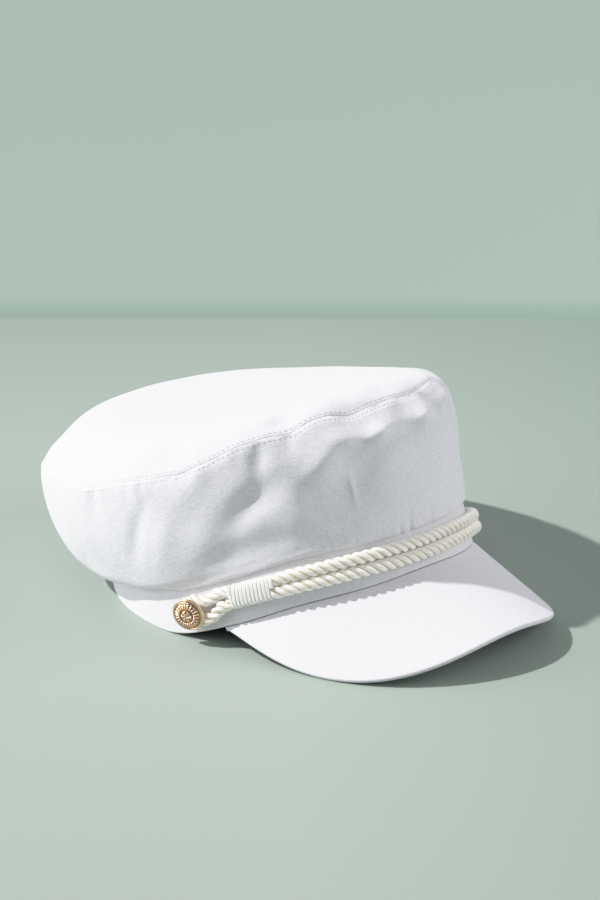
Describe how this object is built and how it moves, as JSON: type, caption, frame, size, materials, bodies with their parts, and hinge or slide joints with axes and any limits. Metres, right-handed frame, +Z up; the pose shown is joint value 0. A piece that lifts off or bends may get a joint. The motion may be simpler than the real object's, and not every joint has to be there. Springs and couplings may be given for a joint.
{
  "type": "fisherman cap",
  "caption": "Soft cotton cap with a puffed crown, upright band, short curved peak, and a doubled rope across the front held by a domed button at each side.",
  "frame": {"origin": "on the surface the cap rests on, under the middle of its bounding box", "axes": "+Z up; the peak faces -Y; +X is towards the wearer's left"},
  "size_m": [0.2116, 0.2895, 0.1169],
  "materials": {
    "crown_cotton": "washed white cotton twill, matt",
    "band_cotton": "white cotton twill over a firm band, matt",
    "peak_cotton": "white cotton twill over a stiff board, matt",
    "rope": "ivory twisted cord with a soft sheen",
    "binding": "ivory wound cord with a soft sheen",
    "gilt_button": "polished gilt, darker in the relief"
  },
  "bodies": {
    "root": {"crown_top": "crown_cotton", "crown_side": "crown_cotton", "band": "band_cotton", "peak": "peak_cotton", "rope_loop": "rope", "rope_binding_right": "binding", "rope_binding_left": "binding", "button_right": "gilt_button", "button_left": "gilt_button"}
  },
  "joints": []
}
